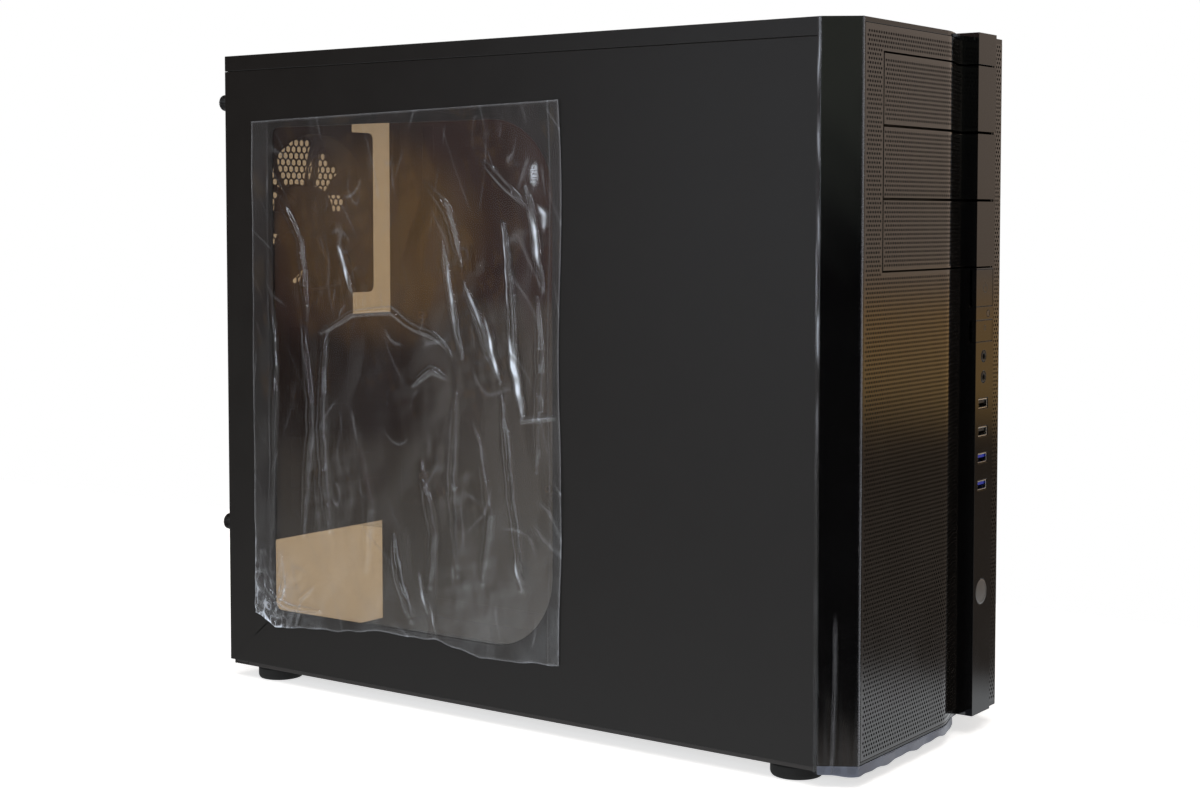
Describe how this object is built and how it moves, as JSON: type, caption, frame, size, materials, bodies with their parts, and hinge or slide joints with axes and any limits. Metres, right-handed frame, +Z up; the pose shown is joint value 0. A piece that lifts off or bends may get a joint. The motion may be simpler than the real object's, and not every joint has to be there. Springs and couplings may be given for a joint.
{
  "type": "desktop computer tower",
  "caption": "Mid-tower computer case with a windowed side panel under wrinkled film, a perforated front, drive bay covers, a glossy port column, fans and drive trays.",
  "frame": {"origin": "middle of the footprint, on the plane of the feet", "axes": "+Z up, the front faces -Y, the rear faces +Y, the windowed side faces -X"},
  "size_m": [0.2154, 0.518, 0.4476],
  "materials": {
    "chassis_steel": "satin black powder coat",
    "panel_steel": "fine matte black powder coat",
    "window_acrylic": "clear acrylic",
    "clear_film": "clear wrinkled protective film",
    "screw_black": "black plated, knurled",
    "rubber": "matte",
    "fan_plastic": "satin black",
    "tray_plastic": "satin black",
    "gloss_black": "polished black",
    "mesh_black": "satin black, finely perforated",
    "lens_grey": "smoked lens",
    "badge_grey": "plain satin disc",
    "socket_black": "moulded",
    "socket_metal": "nickel plated",
    "socket_blue": "moulded blue tongue in a metal shell",
    "circuit_green": "solder mask"
  },
  "bodies": {
    "chassis": {"chassis_base": "chassis_steel", "top_cover": "panel_steel", "rear_panel": "chassis_steel", "front_frame": "chassis_steel", "motherboard_tray": "chassis_steel", "cable_grommet_1": "rubber", "cable_grommet_2": "rubber", "cable_grommet_3": "rubber", "slot_cover_1": "chassis_steel", "slot_cover_2": "chassis_steel", "slot_cover_3": "chassis_steel", "slot_cover_4": "chassis_steel", "slot_cover_5": "chassis_steel", "slot_cover_6": "chassis_steel", "slot_cover_7": "chassis_steel", "foot_rear_left": "rubber", "foot_front_left": "rubber", "foot_rear_right": "rubber", "foot_front_right": "rubber", "rear_fan_frame": "fan_plastic", "front_fan_frame": "fan_plastic", "optical_cage": "chassis_steel", "drive_cage": "chassis_steel"},
    "left_panel": {"left_side_panel": "panel_steel", "side_window": "window_acrylic", "window_film": "clear_film"},
    "right_panel": {"right_side_panel": "panel_steel"},
    "screw_left_lower": {"thumbscrew_left_lower": "screw_black"},
    "screw_left_upper": {"thumbscrew_left_upper": "screw_black"},
    "screw_right_lower": {"thumbscrew_right_lower": "screw_black"},
    "screw_right_upper": {"thumbscrew_right_upper": "screw_black"},
    "rear_rotor": {"rear_fan_rotor": "fan_plastic"},
    "front_rotor": {"front_fan_rotor": "fan_plastic"},
    "tray_1": {"drive_tray_1": "tray_plastic"},
    "tray_2": {"drive_tray_2": "tray_plastic"},
    "tray_3": {"drive_tray_3": "tray_plastic"},
    "tray_4": {"drive_tray_4": "tray_plastic"},
    "filter": {"dust_filter": "tray_plastic"},
    "bezel": {"front_bezel": "gloss_black", "front_mesh": "mesh_black", "bezel_film": "clear_film", "port_column": "gloss_black", "power_led": "lens_grey", "round_badge": "badge_grey", "audio_jack_1": "socket_black", "audio_jack_2": "socket_black", "usb_port_1": "socket_metal", "usb_port_2": "socket_metal", "usb_port_3": "socket_blue", "usb_port_4": "socket_blue", "front_io_board": "circuit_green"},
    "cover_1": {"bay_cover_1": "mesh_black"},
    "cover_2": {"bay_cover_2": "mesh_black"},
    "cover_3": {"bay_cover_3": "mesh_black"},
    "power_key": {"power_button": "gloss_black"},
    "reset_key": {"reset_button": "gloss_black"}
  },
  "joints": [
    {"name": "left_panel_slide", "type": "slide", "parent": "chassis", "child": "left_panel", "axis": [0, 1, 0], "range_m": [0, 0.02]},
    {"name": "right_panel_slide", "type": "slide", "parent": "chassis", "child": "right_panel", "axis": [0, 1, 0], "range_m": [0, 0.02]},
    {"name": "screw_left_lower_turn", "type": "hinge", "parent": "left_panel", "child": "screw_left_lower", "pos_m": [-0.09825, 0.25, 0.1105], "axis": [0, 1, 0], "continuous": true},
    {"name": "screw_left_upper_turn", "type": "hinge", "parent": "left_panel", "child": "screw_left_upper", "pos_m": [-0.09825, 0.25, 0.4135], "axis": [0, 1, 0], "continuous": true},
    {"name": "screw_right_lower_turn", "type": "hinge", "parent": "right_panel", "child": "screw_right_lower", "pos_m": [0.09975, 0.25, 0.1105], "axis": [0, 1, 0], "continuous": true},
    {"name": "screw_right_upper_turn", "type": "hinge", "parent": "right_panel", "child": "screw_right_upper", "pos_m": [0.09975, 0.25, 0.4135], "axis": [0, 1, 0], "continuous": true},
    {"name": "rear_fan_spin", "type": "hinge", "parent": "chassis", "child": "rear_rotor", "pos_m": [-0.04225, 0.235, 0.335], "axis": [0, 1, 0], "continuous": true},
    {"name": "front_fan_spin", "type": "hinge", "parent": "chassis", "child": "front_rotor", "pos_m": [0.00575, -0.22, 0.092], "axis": [0, 1, 0], "continuous": true},
    {"name": "tray_1_slide", "type": "slide", "parent": "chassis", "child": "tray_1", "axis": [0, 1, 0], "range_m": [0, 0.13]},
    {"name": "tray_2_slide", "type": "slide", "parent": "chassis", "child": "tray_2", "axis": [0, 1, 0], "range_m": [0, 0.13]},
    {"name": "tray_3_slide", "type": "slide", "parent": "chassis", "child": "tray_3", "axis": [0, 1, 0], "range_m": [0, 0.13]},
    {"name": "tray_4_slide", "type": "slide", "parent": "chassis", "child": "tray_4", "axis": [0, 1, 0], "range_m": [0, 0.13]},
    {"name": "filter_slide", "type": "slide", "parent": "chassis", "child": "filter", "axis": [0, 1, 0], "range_m": [0, 0.17]},
    {"name": "bezel_pull", "type": "slide", "parent": "chassis", "child": "bezel", "axis": [0, -1, 0], "range_m": [0, 0.03]},
    {"name": "cover_1_pull", "type": "slide", "parent": "bezel", "child": "cover_1", "axis": [0, -1, 0], "range_m": [0, 0.04]},
    {"name": "cover_2_pull", "type": "slide", "parent": "bezel", "child": "cover_2", "axis": [0, -1, 0], "range_m": [0, 0.04]},
    {"name": "cover_3_pull", "type": "slide", "parent": "bezel", "child": "cover_3", "axis": [0, -1, 0], "range_m": [0, 0.04]},
    {"name": "power_press", "type": "slide", "parent": "bezel", "child": "power_key", "axis": [0, 1, 0], "range_m": [0, 0.0015], "stiffness_N_per_m": 800},
    {"name": "reset_press", "type": "slide", "parent": "bezel", "child": "reset_key", "axis": [0, 1, 0], "range_m": [0, 0.0015], "stiffness_N_per_m": 800}
  ]
}
